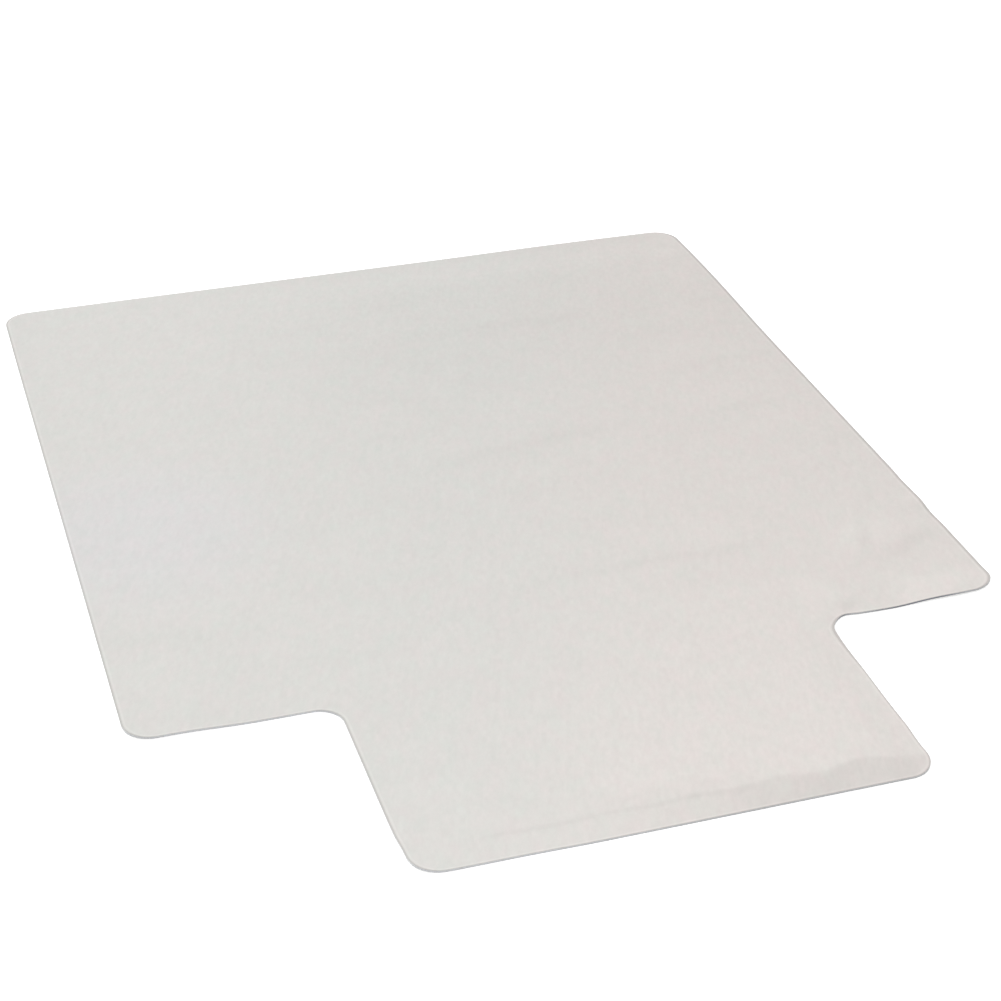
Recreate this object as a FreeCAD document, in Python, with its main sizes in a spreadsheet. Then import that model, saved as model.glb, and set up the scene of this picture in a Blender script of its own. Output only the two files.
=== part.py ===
import FreeCAD, Part
import math
import os

import Sketcher

# Chair mat for a hard floor: one thin, flexible sheet, T-shaped in plan, that lies loose on
# the floor.  A wide body carries the chair, and a narrower lip runs forward under the desk.
# The sheet is built up from three bonded plies that share one die-cut outline, from the
# floor up: grip_backing, core_sheet and wear_layer.
#
# Frame: millimetres, +Z up, origin on the underside at the centre of the overall rectangle.
# X runs across the mat, and the lip points towards -Y.

SHEET_LABEL = "Dimensions"

# Driving dimensions: alias, value in millimetres, what it measures.
DIMENSIONS = [
    ("body_width", "900", "left side to right side of the body"),
    ("body_depth", "940", "wing front edge to far edge of the body"),
    ("lip_width", "500", "left side to right side of the lip"),
    ("lip_depth", "260", "wing front edge to lip front edge"),
    ("corner_radius", "30", "the six convex corners"),
    ("notch_radius", "25", "the two concave corners where the lip meets the body"),
    ("backing_thickness", "0.2", "matte ply that grips the floor"),
    ("core_thickness", "1.6", "clear sheet that carries the load"),
    ("wear_thickness", "0.2", "frosted ply that the casters roll on"),
]

# The plies from the floor up: label, spreadsheet alias of the thickness.
PLIES = [
    ("grip_backing", "backing_thickness"),
    ("core_sheet", "core_thickness"),
    ("wear_layer", "wear_thickness"),
]

# Sketcher's own numbering: the ends of a line or arc, the origin point, the vertical axis.
START, END = 1, 2
SKETCH_ORIGIN, ORIGIN_POINT = -1, 1
VERTICAL_AXIS = -2


def make_dimension_sheet(doc):
    """Spreadsheet with one named cell for each driving dimension."""
    sheet = doc.addObject("Spreadsheet::Sheet", SHEET_LABEL)
    for row, (alias, value, meaning) in enumerate(DIMENSIONS, start=1):
        sheet.set(f"A{row}", alias)
        sheet.set(f"B{row}", value)
        sheet.set(f"C{row}", meaning)
        sheet.setAlias(f"B{row}", alias)
    doc.recompute()
    return sheet


def outline_corners(sheet):
    """Corners of the T anticlockwise from the lip's front left: position, radius."""
    half_body = sheet.body_width / 2
    half_lip = sheet.lip_width / 2
    far_y = (sheet.body_depth + sheet.lip_depth) / 2
    wing_y = far_y - sheet.body_depth
    lip_y = -far_y
    return [
        (FreeCAD.Vector(-half_lip, lip_y, 0), sheet.corner_radius),
        (FreeCAD.Vector(half_lip, lip_y, 0), sheet.corner_radius),
        (FreeCAD.Vector(half_lip, wing_y, 0), sheet.notch_radius),
        (FreeCAD.Vector(half_body, wing_y, 0), sheet.corner_radius),
        (FreeCAD.Vector(half_body, far_y, 0), sheet.corner_radius),
        (FreeCAD.Vector(-half_body, far_y, 0), sheet.corner_radius),
        (FreeCAD.Vector(-half_body, wing_y, 0), sheet.corner_radius),
        (FreeCAD.Vector(-half_lip, wing_y, 0), sheet.notch_radius),
    ]


def direction(first, second):
    """Unit vector from the first point to the second."""
    return (second - first).normalize()


def straight_edge(corner, following):
    """Line between the tangent points of two neighbouring rounded corners."""
    (first, first_radius), (second, second_radius) = corner, following
    along = direction(first, second)
    return Part.LineSegment(first + along * first_radius, second - along * second_radius)


def corner_arc(previous, corner, following):
    """Arc that rounds a right-angled corner, and whether it turns anticlockwise."""
    position, radius = corner
    towards_previous = direction(position, previous[0])
    towards_following = direction(position, following[0])
    centre = position + (towards_previous + towards_following) * radius
    anticlockwise = towards_following.cross(towards_previous).z > 0
    # Each tangent point lies straight across the arc's centre from the other straight edge.
    arc_start = -towards_following if anticlockwise else -towards_previous
    start_angle = math.atan2(arc_start.y, arc_start.x)
    circle = Part.Circle(centre, FreeCAD.Vector(0, 0, 1), radius)
    return Part.ArcOfCircle(circle, start_angle, start_angle + math.pi / 2), anticlockwise


def draw_outline(sketch, corners):
    """Adds the rounded T as eight lines joined by eight tangent arcs; returns both lists."""
    following_corners = corners[1:] + corners[:1]
    lines = [
        sketch.addGeometry(straight_edge(corner, following), False)
        for corner, following in zip(corners, following_corners)
    ]
    arcs = []
    for index, corner in enumerate(corners):
        arc, anticlockwise = corner_arc(corners[index - 1], corner, following_corners[index])
        arcs.append(sketch.addGeometry(arc, False))
        entry, leave = (START, END) if anticlockwise else (END, START)
        for line, line_end, arc_end in ((lines[index - 1], END, entry),
                                        (lines[index], START, leave)):
            sketch.addConstraint(
                Sketcher.Constraint("Tangent", line, line_end, arcs[index], arc_end))
    return lines, arcs


def drive(sketch, name, constraint, expression):
    """Adds a named dimension to the sketch and binds it to the spreadsheet."""
    index = sketch.addConstraint(constraint)
    sketch.renameConstraint(index, name)
    sketch.setExpression(f"Constraints.{name}", expression)


def sketch_outline(body, sheet):
    """Fully constrained rounded T on the body's XY plane."""
    sketch = body.newObject("Sketcher::SketchObject", f"{body.Name}_outline")
    xy_plane = next(item for item in body.Origin.OriginFeatures if item.Role == "XY_Plane")
    sketch.AttachmentSupport = [(xy_plane, "")]
    sketch.MapMode = "FlatFace"

    lines, arcs = draw_outline(sketch, outline_corners(sheet))
    (lip_front, lip_right, wing_right, side_right,
     far_edge, side_left, wing_left, lip_left) = lines
    notch_right, notch_left = arcs[2], arcs[7]
    convex = [arc for arc in arcs if arc not in (notch_right, notch_left)]

    for line in (lip_right, side_right, side_left, lip_left):
        sketch.addConstraint(Sketcher.Constraint("Vertical", line))
    for line in (wing_right, wing_left):
        sketch.addConstraint(Sketcher.Constraint("Horizontal", line))
    for line in (lip_front, far_edge):
        sketch.addConstraint(
            Sketcher.Constraint("Symmetric", line, START, line, END, VERTICAL_AXIS))
    sketch.addConstraint(Sketcher.Constraint("Horizontal", wing_right, START, wing_left, END))
    for arc in convex[1:]:
        sketch.addConstraint(Sketcher.Constraint("Equal", convex[0], arc))
    sketch.addConstraint(Sketcher.Constraint("Equal", notch_right, notch_left))

    half_length = (sheet.body_depth + sheet.lip_depth) / 2
    drive(sketch, "corner_radius",
          Sketcher.Constraint("Radius", convex[0], sheet.corner_radius),
          f"{SHEET_LABEL}.corner_radius")
    drive(sketch, "notch_radius",
          Sketcher.Constraint("Radius", notch_right, sheet.notch_radius),
          f"{SHEET_LABEL}.notch_radius")
    drive(sketch, "lip_width",
          Sketcher.Constraint("DistanceX", lip_left, END, lip_right, START, sheet.lip_width),
          f"{SHEET_LABEL}.lip_width")
    drive(sketch, "body_width",
          Sketcher.Constraint("DistanceX", side_left, START, side_right, END, sheet.body_width),
          f"{SHEET_LABEL}.body_width")
    drive(sketch, "lip_depth",
          Sketcher.Constraint("DistanceY", lip_front, END, wing_right, START, sheet.lip_depth),
          f"{SHEET_LABEL}.lip_depth")
    drive(sketch, "body_depth",
          Sketcher.Constraint("DistanceY", wing_right, END, far_edge, START, sheet.body_depth),
          f"{SHEET_LABEL}.body_depth")
    drive(sketch, "half_length",
          Sketcher.Constraint(
              "DistanceY", SKETCH_ORIGIN, ORIGIN_POINT, far_edge, START, half_length),
          f"({SHEET_LABEL}.body_depth + {SHEET_LABEL}.lip_depth) / 2")
    return sketch


def make_ply(doc, sheet, label, thickness_alias, aliases_below):
    """One ply with the full outline, resting on the plies below it."""
    body = doc.addObject("PartDesign::Body", label)
    body.Label = label
    if aliases_below:
        height = " + ".join(f"{SHEET_LABEL}.{alias}" for alias in aliases_below)
        body.setExpression("Placement.Base.z", height)
    outline = sketch_outline(body, sheet)
    pad = body.newObject("PartDesign::Pad", f"{label}_pad")
    pad.Profile = outline
    pad.setExpression("Length", f"{SHEET_LABEL}.{thickness_alias}")
    return body


def make_mat(doc, sheet):
    """All the plies, stacked from the floor up."""
    bodies = []
    aliases_below = []
    for label, thickness_alias in PLIES:
        bodies.append(make_ply(doc, sheet, label, thickness_alias, aliases_below))
        aliases_below.append(thickness_alias)
    return bodies


def check_document(doc, bodies):
    """Stops on a failed feature, a loose sketch or an unsound solid."""
    for item in doc.Objects:
        if {"Invalid", "Error"} & set(item.State):
            raise RuntimeError(f"{item.Label} did not recompute: {item.State}")
        if item.TypeId == "Sketcher::SketchObject" and not item.FullyConstrained:
            raise RuntimeError(f"{item.Label} is not fully constrained")
    for body in bodies:
        shape = body.Shape
        if shape.isNull() or not shape.isValid() or len(shape.Solids) != 1:
            raise RuntimeError(f"{body.Label} is not one valid solid")


def export_parts(bodies):
    """One STEP file for each ply, named by its label."""
    os.makedirs("parts", exist_ok=True)
    for body in bodies:
        body.Shape.exportStep(f"parts/{body.Label}.step")


def main():
    doc = FreeCAD.newDocument("ChairMat")
    sheet = make_dimension_sheet(doc)
    bodies = make_mat(doc, sheet)
    doc.recompute()
    check_document(doc, bodies)
    export_parts(bodies)


main()
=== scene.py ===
import math

import bpy
from mathutils import Matrix, Vector, geometry, kdtree


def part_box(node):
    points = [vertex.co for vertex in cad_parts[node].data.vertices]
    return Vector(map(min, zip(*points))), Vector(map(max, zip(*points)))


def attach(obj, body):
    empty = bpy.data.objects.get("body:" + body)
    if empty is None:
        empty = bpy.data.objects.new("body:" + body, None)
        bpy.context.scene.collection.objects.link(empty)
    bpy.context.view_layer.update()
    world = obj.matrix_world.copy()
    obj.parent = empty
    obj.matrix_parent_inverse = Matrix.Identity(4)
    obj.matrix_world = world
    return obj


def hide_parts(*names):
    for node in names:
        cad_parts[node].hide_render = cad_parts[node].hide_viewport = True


# Looks for the chair mat.  The three CAD plies give the outline and the thicknesses.  Each
# is replaced by a finely meshed ply of the same thickness.  Its edges drift sideways by up to
# a few millimetres, and it follows the mat's shallow relief: corners and edges that curl up
# from having been rolled, low cross ridges and a turned-down lip edge.
# Units are metres, +Z up, with the lip towards -Y.

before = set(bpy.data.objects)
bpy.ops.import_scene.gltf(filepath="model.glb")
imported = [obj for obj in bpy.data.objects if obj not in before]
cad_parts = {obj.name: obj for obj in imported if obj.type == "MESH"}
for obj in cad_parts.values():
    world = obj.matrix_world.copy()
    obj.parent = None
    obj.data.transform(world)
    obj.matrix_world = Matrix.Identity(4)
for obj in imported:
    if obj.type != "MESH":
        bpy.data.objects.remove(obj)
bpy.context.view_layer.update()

MM = 0.001
TOUCHING = 0.01 * MM


# ---------------------------------------------------------------- outline

class Outline:
    """Straight edges and corner radii of the mat, read from a CAD ply's mesh."""

    def __init__(self, node):
        points = [vertex.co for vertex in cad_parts[node].data.vertices]
        low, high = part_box(node)
        self.half_body = high.x
        self.far_y = high.y
        self.lip_y = low.y
        far_flat = max(p.x for p in points if p.y > high.y - TOUCHING)
        self.corner_radius = self.half_body - far_flat
        lip_flat = max(p.x for p in points if p.y < low.y + TOUCHING)
        self.half_lip = lip_flat + self.corner_radius
        side_start = min(p.y for p in points if p.x > high.x - TOUCHING)
        self.wing_y = side_start - self.corner_radius
        wing_start = min(abs(p.x) for p in points if abs(p.y - self.wing_y) < TOUCHING)
        self.notch_radius = wing_start - self.half_lip

    def corners(self):
        """Corners anticlockwise from the lip's front left: point, radius, turn (1 is convex)."""
        convex, notch = (self.corner_radius, 1), (self.notch_radius, -1)
        return [
            (Vector((-self.half_lip, self.lip_y)), *convex),
            (Vector((self.half_lip, self.lip_y)), *convex),
            (Vector((self.half_lip, self.wing_y)), *notch),
            (Vector((self.half_body, self.wing_y)), *convex),
            (Vector((self.half_body, self.far_y)), *convex),
            (Vector((-self.half_body, self.far_y)), *convex),
            (Vector((-self.half_body, self.wing_y)), *convex),
            (Vector((-self.half_lip, self.wing_y)), *notch),
        ]

    def stations(self, arc_steps, straight_step):
        """Points round the outline with their outward normals, anticlockwise."""
        corners = self.corners()
        stations = []
        for index, (corner, radius, turn) in enumerate(corners):
            arriving = (corner - corners[index - 1][0]).normalized()
            next_corner, next_radius, _ = corners[(index + 1) % len(corners)]
            leaving = (next_corner - corner).normalized()
            centre = corner + (leaving - arriving) * radius
            start_angle = math.atan2(-arriving.x, arriving.y)
            for step in range(arc_steps + 1):
                angle = start_angle + turn * math.pi / 2 * step / arc_steps
                normal = Vector((math.cos(angle), math.sin(angle)))
                stations.append((centre + normal * radius * turn, normal))
            first = corner + leaving * radius
            run = (next_corner - leaving * next_radius) - first
            pieces = max(2, round(run.length / straight_step))
            normal = Vector((leaving.y, -leaving.x))
            for step in range(1, pieces):
                stations.append((first + run * step / pieces, normal))
        return stations


ARC_STEPS = 16
EDGE_STEP = 5 * MM
OUTLINE = Outline("core_sheet")
STATIONS = OUTLINE.stations(ARC_STEPS, EDGE_STEP)


def station_tree():
    """Search tree for the outline station nearest to a point."""
    tree = kdtree.KDTree(len(STATIONS))
    for index, (point, _) in enumerate(STATIONS):
        tree.insert(point.to_3d(), index)
    tree.balance()
    return tree


NEAREST = station_tree()


def depth(x, y):
    """Distance of a plan point inside the outline; it is negative outside."""
    point, index, _ = NEAREST.find((x, y, 0))
    return (point.xy - Vector((x, y))).dot(STATIONS[index][1])


# ---------------------------------------------------------------- relief

def ease(t):
    """Smooth step from 0 at t = 0 to 1 at t = 1."""
    t = min(max(t, 0.0), 1.0)
    return t * t * (3 - 2 * t)


def hump(t):
    """Smooth bump of height 1 that is level and 0 from t = -1 down and t = 1 up."""
    return (1 - min(t * t, 1.0)) ** 2


def near_corner(x, y, corner_x, corner_y, reach):
    """Nearness to a corner, measured along its diagonal: 1 at its tip and 0 beyond reach."""
    from_tip = (abs(x - corner_x) + abs(y - corner_y)) / math.sqrt(2)
    return max(0.0, 1 - from_tip / reach) ** 2


def corner_curls(x, y):
    """Corners that lift along their diagonals, as they do on a mat that was rolled up."""
    left_wing = near_corner(x, y, -OUTLINE.half_body, OUTLINE.wing_y, 130 * MM)
    far_right = near_corner(x, y, OUTLINE.half_body, OUTLINE.far_y, 110 * MM)
    lip_left = near_corner(x, y, -OUTLINE.half_lip, OUTLINE.lip_y, 120 * MM)
    notch = near_corner(x, y, OUTLINE.half_lip, OUTLINE.wing_y, 50 * MM)
    return MM * (0.7 * left_wing + 0.2 * far_right + 0.9 * lip_left + 1.1 * notch)


def left_wing_reach(x):
    """Nearness, across the mat, to the outer half of the left wing."""
    return hump((x + 406 * MM) / (80 * MM))


def edge_lifts(x, y):
    """Stretches of edge that stand off the floor between the corners."""
    front, side = y - OUTLINE.wing_y, OUTLINE.half_body - x
    left_wing = 0.4 * MM * left_wing_reach(x) * (1 - ease(front / (150 * MM)))
    right_side = 1.2 * MM * hump((y - 420 * MM) / (140 * MM)) * (1 - ease(side / (90 * MM)))
    return left_wing + right_side


def lip_pull(x, y):
    """Drift, in millimetres, of the lip: its corners, its front and the waist of each side."""
    left_corner = near_corner(x, y, -OUTLINE.half_lip, OUTLINE.lip_y, 80 * MM)
    right_corner = near_corner(x, y, OUTLINE.half_lip, OUTLINE.lip_y, 60 * MM)
    inward = y - OUTLINE.lip_y
    left_side = 1 - ease((x + OUTLINE.half_lip) / (60 * MM))
    left_waist = left_side * hump((inward - 32 * MM) / (30 * MM))
    right_side = ease((x - 190 * MM) / (60 * MM))
    right_waist = right_side * hump((inward - 36 * MM) / (40 * MM))
    right_draw = right_side * hump((inward - 90 * MM) / (90 * MM))
    front = hump((x + 150 * MM) / (70 * MM)) * (1 - ease(inward / (40 * MM)))
    return (
        Vector((1.6, 2.2)) * left_corner + Vector((-0.4, 0.0)) * right_corner
        + Vector((1.4, 0.0)) * left_waist + Vector((-2.4, 0.0)) * right_waist
        + Vector((-1.6, 0.0)) * right_draw + Vector((0.0, 1.0)) * front
    )


def wing_pull(x, y):
    """Drift, in millimetres, of the wings: the right tip, the front edges and the right notch.

    The right tip is drawn in as a whole, while its very point is drawn out.
    """
    inward = y - OUTLINE.wing_y
    right_tip = near_corner(x, y, OUTLINE.half_body, OUTLINE.wing_y, 70 * MM)
    right_point = near_corner(x, y, OUTLINE.half_body, OUTLINE.wing_y, 30 * MM)
    tip_front = ease((x - 395 * MM) / (50 * MM)) * (1 - ease(inward / (60 * MM)))
    notch = near_corner(x, y, OUTLINE.half_lip, OUTLINE.wing_y, 50 * MM)
    notch_edge = hump((x - 272 * MM) / (16 * MM)) * (1 - ease(inward / (30 * MM)))
    bulge = hump((x - 322 * MM) / (45 * MM)) * (1 - ease(inward / (60 * MM)))
    right_side = ease((x - 350 * MM) / (90 * MM)) * (1 - ease((inward - 166 * MM) / (24 * MM)))
    left_front = left_wing_reach(x) * (1 - ease(inward / (90 * MM)))
    return (
        Vector((-1.2, 1.2)) * right_tip + Vector((5.0, -1.5)) * right_point
        + Vector((0.0, 3.0)) * tip_front
        + Vector((4.5, -1.5)) * notch + Vector((0.0, 1.4)) * notch_edge
        + Vector((0.0, -1.2)) * bulge + Vector((-0.9, 0.0)) * right_side
        + Vector((0.0, 2.9)) * left_front
    )


def pull(x, y):
    """Sideways drift of a plan point, where the sheet has drawn in or stretched."""
    far_left = near_corner(x, y, -OUTLINE.half_body, OUTLINE.far_y, 150 * MM)
    far_inward = OUTLINE.far_y - y
    far_edge = hump((x - 290 * MM) / (190 * MM)) * (1 - ease(far_inward / (120 * MM)))
    kinks = hump((y + 187 * MM) / (22 * MM)) + hump((y + 110 * MM) / (24 * MM))
    kinks *= ease((x - 400 * MM) / (40 * MM))    # both are in the right edge
    drift = Vector((0.6, -1.2)) * far_left + Vector((0.0, 2.2)) * far_edge
    drift += Vector((-0.7, 0.0)) * kinks
    return MM * (drift + lip_pull(x, y) + wing_pull(x, y))


CREST_INWARD = 30 * MM      # from the lip's front edge to its crest
CREST_HEIGHT = 4.4 * MM
CREST_RISE = 330 * MM       # from the crest back to where the sheet lies flat again
RUN_OUT = 0.9               # share of the crest's height lost by the front edge
SHOULDER_HEIGHT = 0.8 * MM
SHOULDER_RUN = 30 * MM
FOLD_HEIGHT = 0.6 * MM
FOLD_WIDTH = 5 * MM


def crest_inward(x):
    """Distance of the lip's crest from its front edge: it wanders, and bows back on the right."""
    wander = 1.2 * MM * math.sin(x / (14 * MM))
    inset = 3 * MM * ease((x + 60 * MM) / (120 * MM))
    bow = 8 * MM * hump((x - 178 * MM) / (40 * MM))
    return CREST_INWARD + wander - inset + bow


def lip_roll(x, y):
    """The lip's front strip, which bends down to the floor from a low crest on the right.

    A fine fold, where the vinyl steps up a little, runs along the crest and on to the left.
    """
    inward = y - OUTLINE.lip_y
    crest = crest_inward(x)
    ramp = ease((x + 170 * MM) / (350 * MM)) ** 1.8
    height = CREST_HEIGHT * ramp * (1 - 0.55 * ease((x - 200 * MM) / (55 * MM)))
    if inward < crest:
        return height * (1 - RUN_OUT + RUN_OUT * inward / crest)
    fold = FOLD_HEIGHT * (0.6 + 0.4 * ease((x + 60 * MM) / (90 * MM)))
    fold *= ease((x + 195 * MM) / (40 * MM)) * (1 - ease((x - 90 * MM) / (60 * MM)))
    shoulder = SHOULDER_HEIGHT * hump((x - 10 * MM) / (140 * MM))
    top = height + fold * ease((inward - crest) / FOLD_WIDTH)
    top += shoulder * ease((inward - crest) / SHOULDER_RUN)
    return top * max(0.0, 1 - (inward - crest) / CREST_RISE) ** 1.25


def ridge(x, y, middle_x, middle_y, slant, half_length, height, front_run, back_run):
    """Low ridge on a line at slant degrees from +X, with the runs of its front and back slopes."""
    from_x, from_y = x - middle_x, y - middle_y
    turn = math.radians(slant)
    along = from_x * math.cos(turn) + from_y * math.sin(turn)
    across = from_y * math.cos(turn) - from_x * math.sin(turn)
    run = front_run if across < 0 else back_run
    return height * hump(along / half_length) * (1 - ease(abs(across) / run))


# A ridge's values: middle x and y, slant in degrees, half length, height, front and back run.
WING_RIDGES = (
    (390 * MM, -222 * MM, 32, 70 * MM, 1.05 * MM, 28 * MM, 60 * MM),    # slanting
    (350 * MM, -212 * MM, -106, 50 * MM, 0.8 * MM, 30 * MM, 13 * MM),   # along the mat
    (280 * MM, -318 * MM, 25, 22 * MM, 1.0 * MM, 15 * MM, 60 * MM),     # by the notch
)


def wing_ripples(x, y):
    """Short ridges on the right wing."""
    return sum(ridge(x, y, *shape) for shape in WING_RIDGES)


def wing_front(x, y):
    """The right wing's front edge, which turns up off the floor on its outer half."""
    inward = y - OUTLINE.wing_y
    rise = ease((x - 325 * MM) / (60 * MM)) * (1 - 0.6 * ease((x - 395 * MM) / (45 * MM)))
    return 2.2 * MM * rise * (1 - ease(inward / (48 * MM)))


def side_ripple(x, y):
    """A short ripple in the right edge, farther back than the wing ripples."""
    length = 64 * MM
    fade = math.exp((x - OUTLINE.half_body) / (24 * MM))
    from_middle = y - (OUTLINE.wing_y + 168 * MM)
    wave = 0.5 + math.sin(2 * math.pi * from_middle / length)
    return 0.6 * MM * wave * hump(from_middle / length) * fade


LOW_RIDGES = (
    (240 * MM, 508 * MM, 0, 620 * MM, 2.4 * MM, 300 * MM, 92 * MM),
    (170 * MM, 394 * MM, -1, 290 * MM, 0.5 * MM, 24 * MM, 90 * MM),
    (350 * MM, 226 * MM, 0, 100 * MM, 0.45 * MM, 22 * MM, 70 * MM),
    (110 * MM, 100 * MM, 3, 130 * MM, 0.52 * MM, 22 * MM, 70 * MM),
    (-15 * MM, 82 * MM, 8, 70 * MM, 0.32 * MM, 22 * MM, 60 * MM),
    (330 * MM, 110 * MM, 0, 80 * MM, 0.45 * MM, 20 * MM, 60 * MM),
    (370 * MM, -46 * MM, -5, 65 * MM, 0.35 * MM, 20 * MM, 60 * MM),
    (125 * MM, -182 * MM, 1, 230 * MM, 0.6 * MM, 18 * MM, 80 * MM),
    (-380 * MM, -172 * MM, 0, 90 * MM, 0.25 * MM, 22 * MM, 60 * MM),
    (-380 * MM, 400 * MM, 0, 80 * MM, 0.25 * MM, 22 * MM, 60 * MM),
)


def low_waves(x, y):
    """Shallow ridges across the mat, left by the turns of the roll."""
    wander = 4 * MM * math.sin(x / (60 * MM)) + 3 * MM * math.sin(x / (17 * MM))
    return sum(ridge(x, y - wander, *shape) for shape in LOW_RIDGES)


SOFTENING = 0.1 * MM


def relief(x, y):
    """Height of the mat's underside above the floor at a point of the plan.

    It never goes below the floor, and SOFTENING rounds the line where the sheet leaves it.
    """
    lift = corner_curls(x, y) + edge_lifts(x, y) + lip_roll(x, y) + low_waves(x, y)
    if x > OUTLINE.half_lip:
        lift += wing_ripples(x, y) + wing_front(x, y) + side_ripple(x, y)
    return (lift + math.hypot(lift, SOFTENING)) / 2


# ---------------------------------------------------------------- ply meshes

GRID_STEP = 6 * MM
ROW_STEP = GRID_STEP * math.sqrt(3) / 2     # makes the triangles equilateral
FOLD_STEP = 1.6 * MM
CAP_INSET = 7 * MM
SUPPORT_INSETS = (4 * MM, 1.6 * MM, 0.5 * MM)
INSIDE_ONLY = 1             # the triangulation's mode that keeps what is inside the border
MERGE_DISTANCE = 1e-7


def ring(inset):
    """The outline's stations moved inwards by inset."""
    return [point - normal * inset for point, normal in STATIONS]


def cap_rows():
    """Places along Y of the cap's rows of points, which crowd together at the lip's fold."""
    rows = [OUTLINE.lip_y]
    while rows[-1] < OUTLINE.far_y:
        from_fold = abs(rows[-1] - OUTLINE.lip_y - CREST_INWARD - FOLD_WIDTH / 2)
        rows.append(rows[-1] + (FOLD_STEP if from_fold < FOLD_WIDTH * 1.5 else ROW_STEP))
    return rows


def plan_cap():
    """Triangles that fill the ring at CAP_INSET: (points, faces), the ring's points first."""
    border = ring(CAP_INSET)
    points = list(border)
    columns = int(2 * OUTLINE.half_body / GRID_STEP)
    for row, y in enumerate(cap_rows()):
        shift = GRID_STEP / 2 * (row % 2)
        for column in range(columns + 1):
            x = column * GRID_STEP + shift - OUTLINE.half_body
            if depth(x, y) > CAP_INSET + GRID_STEP / 2:
                points.append(Vector((x, y)))
    count = len(border)
    loop = [(index, (index + 1) % count) for index in range(count)]
    found = geometry.delaunay_2d_cdt(points, loop, [], INSIDE_ONLY, MERGE_DISTANCE)
    points, _, faces, *_ = found
    return points, faces


CAP_POINTS, CAP_FACES = plan_cap()


def settle(points):
    """Where plan points lie on the real, uneven mat: sideways drift and height added."""
    settled = []
    for point in points:
        drift = pull(point.x, point.y)
        settled.append(Vector((point.x + drift.x, point.y + drift.y, relief(point.x, point.y))))
    return settled


SETTLED_CAP = settle(CAP_POINTS)


def arris(inset, level, radius, start, end, steps=3):
    """Quarter-round edge as (inset, level) pairs between two angles, in degrees from level."""
    profile = []
    for step in range(steps + 1):
        angle = math.radians(start + (end - start) * step / steps)
        profile.append((inset - radius * math.cos(angle), level + radius * math.sin(angle)))
    return profile


# Widths of the band of painted shade along the top's edge
RIM_FRONT = 0.5 * MM
RIM_LEFT = 1.6 * MM
RIM_RIGHT = 2.7 * MM
RIM_LIP_RIGHT = 1.3 * MM


def edge_shade_width(point, normal):
    """Width of the band of painted shade along the top's edge at a station: narrow at the front and
    far edges and down the lip.
    """
    side = RIM_LEFT
    if normal.x > 0:
        down_lip = ease((OUTLINE.wing_y - OUTLINE.notch_radius - point.y) / (80 * MM))
        side = RIM_RIGHT + (RIM_LIP_RIGHT - RIM_RIGHT) * down_lip
    return RIM_FRONT + (side - RIM_FRONT) * abs(normal.x)


def cut_edge_painted_shade(point):
    """Painted shade on the cut edge, from 0 to 1: shade painted by the notch and where the wing
    turns up.
    """
    front = 1 - ease((point.y - OUTLINE.wing_y) / (40 * MM))
    notch = 0.95 * hump((point.x - 266 * MM) / (19 * MM))
    past_wing = ease((point.x - 375 * MM) / (36 * MM))
    wing = ease((point.x - 275 * MM) / (66 * MM)) * (1 - 0.8 * past_wing)
    return max(notch, wing) * front


def edge_profile(bottom, top, top_round, bottom_round):
    """(inset, level) pairs from the top face, round the cut edge, to the bottom face."""
    profile = [(inset, top) for inset in SUPPORT_INSETS]
    profile += arris(top_round, top - top_round, top_round, 90, 0)
    profile += arris(bottom_round, bottom + bottom_round, bottom_round, 0, -90)
    return profile + [(inset, bottom) for inset in reversed(SUPPORT_INSETS)]


def ply_faces(starts):
    """Faces of a closed ply, from the index of each layer's first point: caps and edge."""
    faces = [tuple(face) for face in CAP_FACES]
    faces += [tuple(starts[-1] + index for index in reversed(face)) for face in CAP_FACES]
    count = len(STATIONS)
    for inner, outer in zip(starts, starts[1:]):
        for index in range(count):
            following = (index + 1) % count
            faces.append((inner + index, outer + index, outer + following, inner + following))
    return faces


def ply_mesh(name, bottom, top, top_round, bottom_round):
    """Closed ply between two levels, with rounded edges, following the relief.

    Its points keep three measures for the materials: their inset from the edge, the width of
    the painted shade along the top's edge there, and how much shade is painted on the cut edge.
    """
    profile = edge_profile(bottom, top, top_round, bottom_round)
    layers = [(SETTLED_CAP, CAP_INSET, top)]
    layers += [(settle(ring(inset)), inset, level) for inset, level in profile]
    layers += [(SETTLED_CAP, CAP_INSET, bottom)]

    widths = [edge_shade_width(point, normal) for point, normal in STATIONS]
    vertices, starts, insets, edge_shade_widths, painted_shades = [], [], [], [], []
    for settled, inset, level in layers:
        starts.append(len(vertices))
        vertices += [point + Vector((0, 0, level)) for point in settled]
        insets += [inset] * len(settled)
        edge_shade_widths += widths + [RIM_FRONT] * (len(settled) - len(widths))
        painted_shades += [cut_edge_painted_shade(point) for point in settled]

    mesh = bpy.data.meshes.new(name)
    mesh.from_pydata(vertices, [], ply_faces(starts))
    mesh.shade_smooth()
    for measure, values in (("inset", insets), ("edge_shade_width", edge_shade_widths), ("painted_shade", painted_shades)):
        mesh.attributes.new(measure, "FLOAT", "POINT").data.foreach_set("value", values)
    return mesh


def make_ply(node, top_round, bottom_round):
    """Visual ply that stands for one CAD ply."""
    low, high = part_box(node)
    mesh = ply_mesh(f"{node}_visual", low.z, high.z, top_round, bottom_round)
    piece = bpy.data.objects.new(f"{node}_visual", mesh)
    bpy.context.scene.collection.objects.link(piece)
    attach(piece, "root")
    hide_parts(node)
    return piece


wear_layer = make_ply("wear_layer", top_round=0.12 * MM, bottom_round=0.03 * MM)
core_sheet = make_ply("core_sheet", top_round=0.05 * MM, bottom_round=0.05 * MM)
grip_backing = make_ply("grip_backing", top_round=0.03 * MM, bottom_round=0.08 * MM)


# ---------------------------------------------------------------- materials

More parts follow.
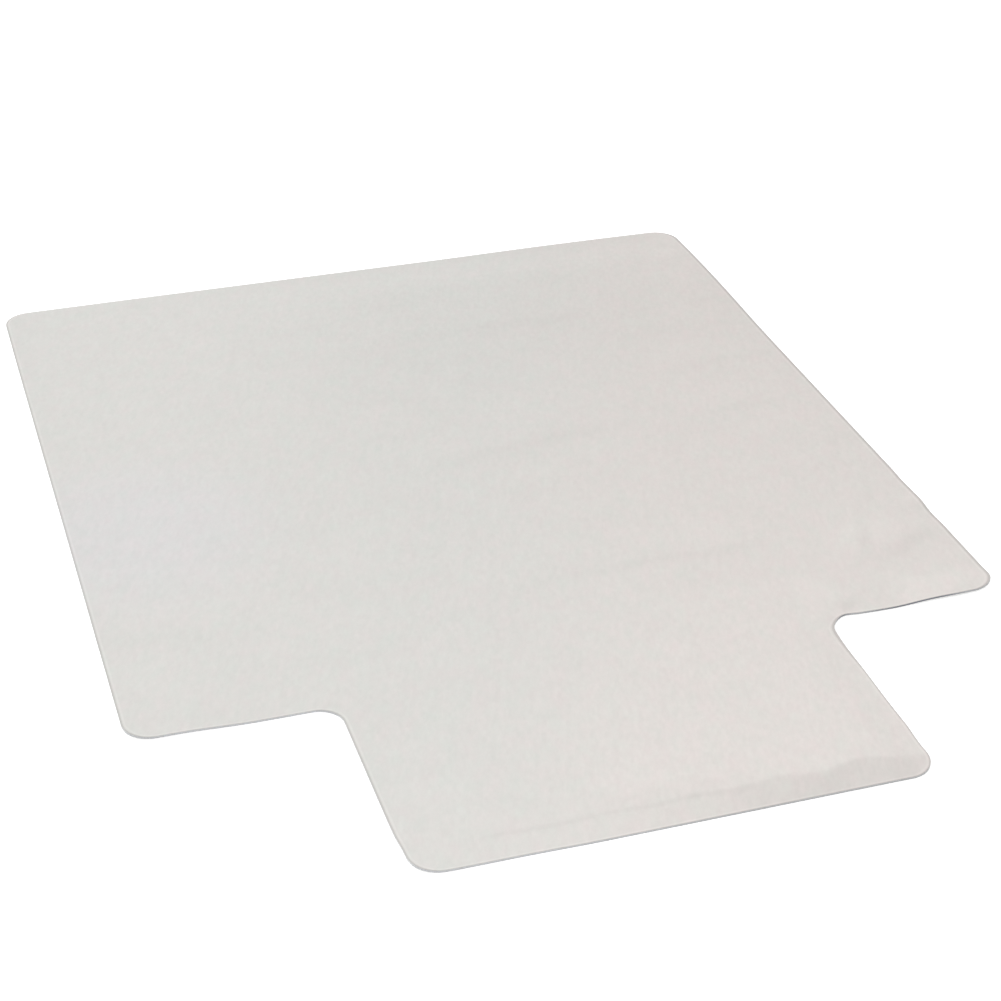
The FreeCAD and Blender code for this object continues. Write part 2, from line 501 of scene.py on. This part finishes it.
GRAIN_TURN = math.radians(-20)
WARM_LEAN = 0.35
WEAR_COOL = (0.576, 0.567, 0.545)
WEAR_WARM = (0.597, 0.564, 0.541)
WEAR_HAZY = (0.580, 0.569, 0.564)
HAZE_MIDDLE = (-380 * MM, 30 * MM, 0)
MOTTLE_GREEN = (0.978, 1.009, 0.997)
MOTTLE_PINK = (1.022, 0.991, 1.001)
# Depth of the painted shade along the top's edge
RIM_SHADE = 0.78
RIM_START, RIM_END = 0.7, 1.4       # where the rim fades, in shares of its width
# Strength of the painted highlight, a thin bright line just inside the painted edge shade
EDGE_PAINTED_HIGHLIGHT = 0.05
CORE_GREY = (0.405, 0.41, 0.42)
CORE_PALE = (0.50, 0.507, 0.525)
# Colour of the painted shade on the cut edge, by the notch and where the wing turns up
CORE_PAINTED_SHADE = (0.145, 0.15, 0.18)
GRIP_BASE = (0.40, 0.40, 0.39)
GRIP_PAD = (0.47, 0.47, 0.455)
FLOOR_WHITE = (0.9, 0.9, 0.9, 1)
FLOOR_GLOW = 0.4
MIX_INPUTS = (0, 6, 7)      # a Mix node's sockets for the share and the two colours
MIX_OUTPUT = 2


def add_node(tree, kind, inputs, **settings):
    """Adds a node.  An input is given a plain value, or another node's output to follow."""
    made = tree.nodes.new(kind)
    for name, value in settings.items():
        setattr(made, name, value)
    for name, value in inputs.items():
        if isinstance(value, bpy.types.NodeSocket):
            tree.links.new(value, made.inputs[name])
        else:
            made.inputs[name].default_value = value
    return made


def place(tree, stretch=(1, 1, 1)):
    """Places in metres along the sheet's grain, for a pattern lengthened by stretch."""
    coordinates = add_node(tree, "ShaderNodeTexCoord", {})
    mapping = add_node(tree, "ShaderNodeMapping",
                       {"Vector": coordinates.outputs["Object"], "Scale": stretch,
                        "Rotation": (0, 0, GRAIN_TURN)}, vector_type="TEXTURE")
    return mapping.outputs["Vector"]


def noise(tree, size, low, high, stretch=(1, 1, 1), detail=2.0, seed=0.0):
    """Soft noise with features of about one size, in metres, spread between low and high."""
    texture = add_node(tree, "ShaderNodeTexNoise",
                       {"Vector": place(tree, stretch), "W": seed, "Scale": 1 / size,
                        "Detail": detail, "Roughness": 0.55}, noise_dimensions="4D")
    spread = add_node(tree, "ShaderNodeMapRange",
                      {"Value": texture.outputs["Fac"], "From Min": 0.3, "From Max": 0.7,
                       "To Min": low, "To Max": high})
    return spread.outputs["Result"]


def remap(tree, value, start, end, low, high):
    """value taken smoothly from the range start..end to the range low..high."""
    spread = add_node(tree, "ShaderNodeMapRange",
                      {"Value": value, "From Min": start, "From Max": end,
                       "To Min": low, "To Max": high}, interpolation_type="SMOOTHSTEP")
    return spread.outputs["Result"]


def measure(tree, name):
    """One of the measures that the plies' points keep."""
    return add_node(tree, "ShaderNodeAttribute", {}, attribute_name=name).outputs["Fac"]


def combine(tree, operation, first, second):
    """One arithmetic step between two numbers."""
    made = tree.nodes.new("ShaderNodeMath")
    made.operation = operation
    for socket, value in zip(made.inputs, (first, second)):
        if isinstance(value, bpy.types.NodeSocket):
            tree.links.new(value, socket)
        else:
            socket.default_value = value
    return made.outputs["Value"]


def mix_colors(tree, share, first, second):
    """Colour that goes from first to second as share goes from 0 to 1."""
    made = tree.nodes.new("ShaderNodeMix")
    made.data_type = "RGBA"
    for index, value in zip(MIX_INPUTS, (share, first, second)):
        socket = made.inputs[index]
        if isinstance(value, bpy.types.NodeSocket):
            tree.links.new(value, socket)
        elif isinstance(value, tuple):
            socket.default_value = (*value, 1)
        else:
            socket.default_value = value
    return made.outputs[MIX_OUTPUT]


def multiply_colors(tree, first, second):
    """One colour tinted by another."""
    made = add_node(tree, "ShaderNodeVectorMath", {}, operation="MULTIPLY")
    tree.links.new(first, made.inputs[0])
    tree.links.new(second, made.inputs[1])
    return made.outputs["Vector"]


def scale_color(tree, color, factor):
    """Colour multiplied by a number."""
    made = add_node(tree, "ShaderNodeVectorMath", {}, operation="SCALE")
    tree.links.new(color, made.inputs[0])
    tree.links.new(factor, made.inputs["Scale"])
    return made.outputs["Vector"]


def new_material(name):
    """Empty material with its node tree and its Principled shader."""
    material = bpy.data.materials.new(name)
    material.use_nodes = True
    return material, material.node_tree, material.node_tree.nodes["Principled BSDF"]


def finish_shader(tree, shader, color, roughness, height, relief_depth):
    """Links colour, roughness and a fine bump, whose full depth is in metres."""
    tree.links.new(color, shader.inputs["Base Color"])
    tree.links.new(roughness, shader.inputs["Roughness"])
    bump = add_node(tree, "ShaderNodeBump", {"Height": height, "Distance": relief_depth})
    tree.links.new(bump.outputs["Normal"], shader.inputs["Normal"])


def wear_color(tree):
    """The top's colour: pinker towards the right, bluer in one hazy patch by the left side."""
    coordinates = add_node(tree, "ShaderNodeTexCoord", {})
    split = add_node(tree, "ShaderNodeSeparateXYZ", {"Vector": coordinates.outputs["Object"]})
    across = combine(tree, "SUBTRACT", split.outputs["X"],
                     combine(tree, "MULTIPLY", split.outputs["Y"], WARM_LEAN))
    wander = noise(tree, 220 * MM, -0.12, 0.12)
    warmth = combine(tree, "ADD", remap(tree, across, -90 * MM, 310 * MM, 0.0, 1.0), wander)
    color = mix_colors(tree, warmth, WEAR_COOL, WEAR_WARM)
    from_haze = add_node(tree, "ShaderNodeVectorMath", {}, operation="DISTANCE")
    tree.links.new(coordinates.outputs["Object"], from_haze.inputs[0])
    from_haze.inputs[1].default_value = HAZE_MIDDLE
    haze = remap(tree, from_haze.outputs["Value"], 40 * MM, 210 * MM, 1.0, 0.0)
    color = mix_colors(tree, haze, color, WEAR_HAZY)
    blush = noise(tree, 14 * MM, 0.0, 1.0, stretch=(1, 1.7, 1), detail=4.0, seed=3.0)
    return multiply_colors(tree, color, mix_colors(tree, blush, MOTTLE_GREEN, MOTTLE_PINK))


def wear_mottle(tree):
    """The top's faint light and dark mottling, as a factor."""
    cloud = noise(tree, 55 * MM, 0.989, 1.011, stretch=(1.7, 1, 1), detail=5.0, seed=5.0)
    fleck = noise(tree, 4.5 * MM, 0.968, 1.032, stretch=(1, 2.0, 1), detail=3.0, seed=7.0)
    streak = noise(tree, 9 * MM, 0.994, 1.006, stretch=(1, 20, 1), seed=9.0)
    return combine(tree, "MULTIPLY", combine(tree, "MULTIPLY", cloud, fleck), streak)


def wear_edge_shade_and_highlight(tree):
    """The top's painted edge shade, a darker band along its edge, with a thin painted highlight line
    just inside it, as a factor.
    """
    inset, width = measure(tree, "inset"), measure(tree, "edge_shade_width")
    rim = remap(tree, combine(tree, "DIVIDE", inset, width), RIM_START, RIM_END, RIM_SHADE, 1.0)
    past = combine(tree, "SUBTRACT", inset, combine(tree, "MULTIPLY", width, RIM_END))
    # Painted highlight: a thin bright line just inside the painted edge shade
    painted_highlight = combine(tree, "MULTIPLY", remap(tree, past, 0.1 * MM, 1.0 * MM, 0.0, EDGE_PAINTED_HIGHLIGHT),
                   remap(tree, past, 1.6 * MM, 2.7 * MM, 1.0, 0.0))
    return combine(tree, "ADD", rim, painted_highlight)


def wear_material():
    """Frosted vinyl: a warm pale grey, faintly mottled, with a pebbled matt grain."""
    material, tree, shader = new_material("frosted_vinyl")
    # The shade factor includes the painted edge shade and its painted highlight line
    shade = combine(tree, "MULTIPLY", wear_mottle(tree), wear_edge_shade_and_highlight(tree))
    roughness = noise(tree, 25 * MM, 0.46, 0.56, detail=4.0, seed=11.0)
    pebbles = noise(tree, 0.7 * MM, 0.0, 1.0, seed=13.0)
    swell = noise(tree, 4 * MM, 0.0, 1.5, stretch=(1, 2, 1), seed=15.0)
    finish_shader(tree, shader, scale_color(tree, wear_color(tree), shade), roughness,
                  combine(tree, "ADD", pebbles, swell), 0.012 * MM)
    return material


def core_material():
    """Clear vinyl seen at its cut edge: grey and glossy, with fine upright knife marks.

    It is paler on the left, and painted shade makes it darker and bluer by the right notch and where
    the mat's edge turns up off the floor.
    """
    material, tree, shader = new_material("clear_vinyl_core")
    marks = noise(tree, 0.9 * MM, 0.0, 1.0, stretch=(1, 1, 12), detail=3.0)
    coordinates = add_node(tree, "ShaderNodeTexCoord", {})
    split = add_node(tree, "ShaderNodeSeparateXYZ", {"Vector": coordinates.outputs["Object"]})
    paleness = combine(tree, "ADD", remap(tree, split.outputs["X"], -160 * MM, 60 * MM, 1.0, 0.0),
                       noise(tree, 90 * MM, -0.15, 0.15, seed=2.0))
    color = mix_colors(tree, paleness, CORE_GREY, CORE_PALE)
    # Painted shade: the cut edge darkened by the notch and where the wing turns up off the floor
    color = mix_colors(tree, measure(tree, "painted_shade"), color, CORE_PAINTED_SHADE)
    color = scale_color(tree, color, remap(tree, marks, 0.0, 1.0, 0.9, 1.1))
    roughness = noise(tree, 6 * MM, 0.16, 0.3, seed=4.0)
    finish_shader(tree, shader, color, roughness, marks, 0.03 * MM)
    return material


def grip_material():
    """Soft non-slip backing: milky grey and dull, with a close pattern of tiny round pads."""
    material, tree, shader = new_material("grip_vinyl")
    pads = add_node(tree, "ShaderNodeTexVoronoi", {"Vector": place(tree), "Scale": 1 / (2.4 * MM),
                                                   "Randomness": 0.25})
    pad = remap(tree, pads.outputs["Distance"], 0.3, 0.5, 1.0, 0.0)
    cloud = noise(tree, 50 * MM, 0.96, 1.04, detail=3.0, seed=6.0)
    color = mix_colors(tree, pad, GRIP_BASE, GRIP_PAD)
    roughness = noise(tree, 20 * MM, 0.7, 0.82, seed=8.0)
    finish_shader(tree, shader, scale_color(tree, color, cloud), roughness, pad, 0.08 * MM)
    return material


def floor_material():
    """Plain pale studio floor with a faint glow of its own, which keeps contact shadows light."""
    material, _, shader = new_material("studio_floor")
    shader.inputs["Base Color"].default_value = FLOOR_WHITE
    shader.inputs["Roughness"].default_value = 0.9
    shader.inputs["Specular IOR Level"].default_value = 0.0
    shader.inputs["Emission Color"].default_value = (1, 1, 1, 1)
    shader.inputs["Emission Strength"].default_value = FLOOR_GLOW
    return material


wear_layer.data.materials.append(wear_material())
core_sheet.data.materials.append(core_material())
grip_backing.data.materials.append(grip_material())


# ---------------------------------------------------------------- studio

def add_floor():
    """Wide flat floor, which isn't part of the mat."""
    reach = 12.0
    corners = [(-reach, -reach, 0), (reach, -reach, 0), (reach, reach, 0), (-reach, reach, 0)]
    mesh = bpy.data.meshes.new("studio_floor")
    mesh.from_pydata(corners, [], [(0, 1, 2, 3)])
    floor = bpy.data.objects.new("studio_floor", mesh)
    bpy.context.scene.collection.objects.link(floor)
    floor.data.materials.append(floor_material())


def add_sky(strength, seen_strength):
    """Even white light from all round, which the camera itself sees as a brighter backdrop."""
    world = bpy.data.worlds.new("studio_sky")
    world.use_nodes = True
    tree = world.node_tree
    background = tree.nodes["Background"]
    background.inputs["Color"].default_value = (1, 1, 1, 1)
    rays = add_node(tree, "ShaderNodeLightPath", {})
    shown = remap(tree, rays.outputs["Is Camera Ray"], 0.0, 1.0, strength, seen_strength)
    tree.links.new(shown, background.inputs["Strength"])
    bpy.context.scene.world = world


def add_light(name, kind, azimuth, elevation, distance, energy):
    """Light aimed at the middle of the mat; azimuth 0 is over the camera's side, -Y."""
    turn, rise = math.radians(azimuth), math.radians(elevation)
    towards = Vector((math.cos(rise) * math.sin(turn), -math.cos(rise) * math.cos(turn),
                      math.sin(rise)))
    data = bpy.data.lights.new(name, kind)
    data.energy = energy
    light = bpy.data.objects.new(name, data)
    bpy.context.scene.collection.objects.link(light)
    light.location = towards * distance
    light.rotation_mode = "QUATERNION"
    light.rotation_quaternion = towards.to_track_quat("Z", "Y")
    return light


def add_studio_lights():
    """A low soft window behind, a panel in front, a small one behind, and an even sky.

    The window casts no highlight: seen from the right, it would burn out half of the mat.
    """
    add_sky(strength=0.5, seen_strength=1.0)
    window = add_light("window", "SUN", azimuth=206, elevation=20, distance=3.0, energy=4.0)
    window.data.angle = math.radians(30)
    window.visible_glossy = False
    front_panel = add_light("front_panel", "AREA", azimuth=0, elevation=55, distance=2.6, energy=23)
    front_panel.data.shape = "SQUARE"
    front_panel.data.size = 1.6
    back_panel = add_light("back_panel", "AREA", azimuth=190, elevation=28, distance=2.0, energy=3.8)
    back_panel.data.shape = "SQUARE"
    back_panel.data.size = 1.0


add_floor()
add_studio_lights()
bpy.context.scene.view_settings.view_transform = "Standard"


CAMERA_ANGLES = (-17.692, 30.638, 0.235)        # azimuth, elevation and roll, in degrees
CAMERA_PLACE = (-0.6295, -2.0320, 1.2514)
FOCAL_LENGTH, SENSOR_WIDTH = 80.99, 36          # in millimetres


def add_camera():
    """Camera that looks along its azimuth and down by its elevation."""
    azimuth, elevation, roll = (math.radians(angle) for angle in CAMERA_ANGLES)
    forward = Vector((-math.sin(azimuth) * math.cos(elevation),
                      math.cos(azimuth) * math.cos(elevation), -math.sin(elevation)))
    level = Vector((math.cos(azimuth), math.sin(azimuth), 0))
    upright = level.cross(forward)
    right = level * math.cos(roll) + upright * math.sin(roll)
    up = upright * math.cos(roll) - level * math.sin(roll)
    data = bpy.data.cameras.new("camera")
    data.lens = FOCAL_LENGTH
    data.sensor_width = SENSOR_WIDTH
    camera = bpy.data.objects.new("camera", data)
    bpy.context.scene.collection.objects.link(camera)
    camera.matrix_world = Matrix((right, up, -forward)).transposed().to_4x4()
    camera.location = CAMERA_PLACE
    bpy.context.scene.camera = camera


add_camera()
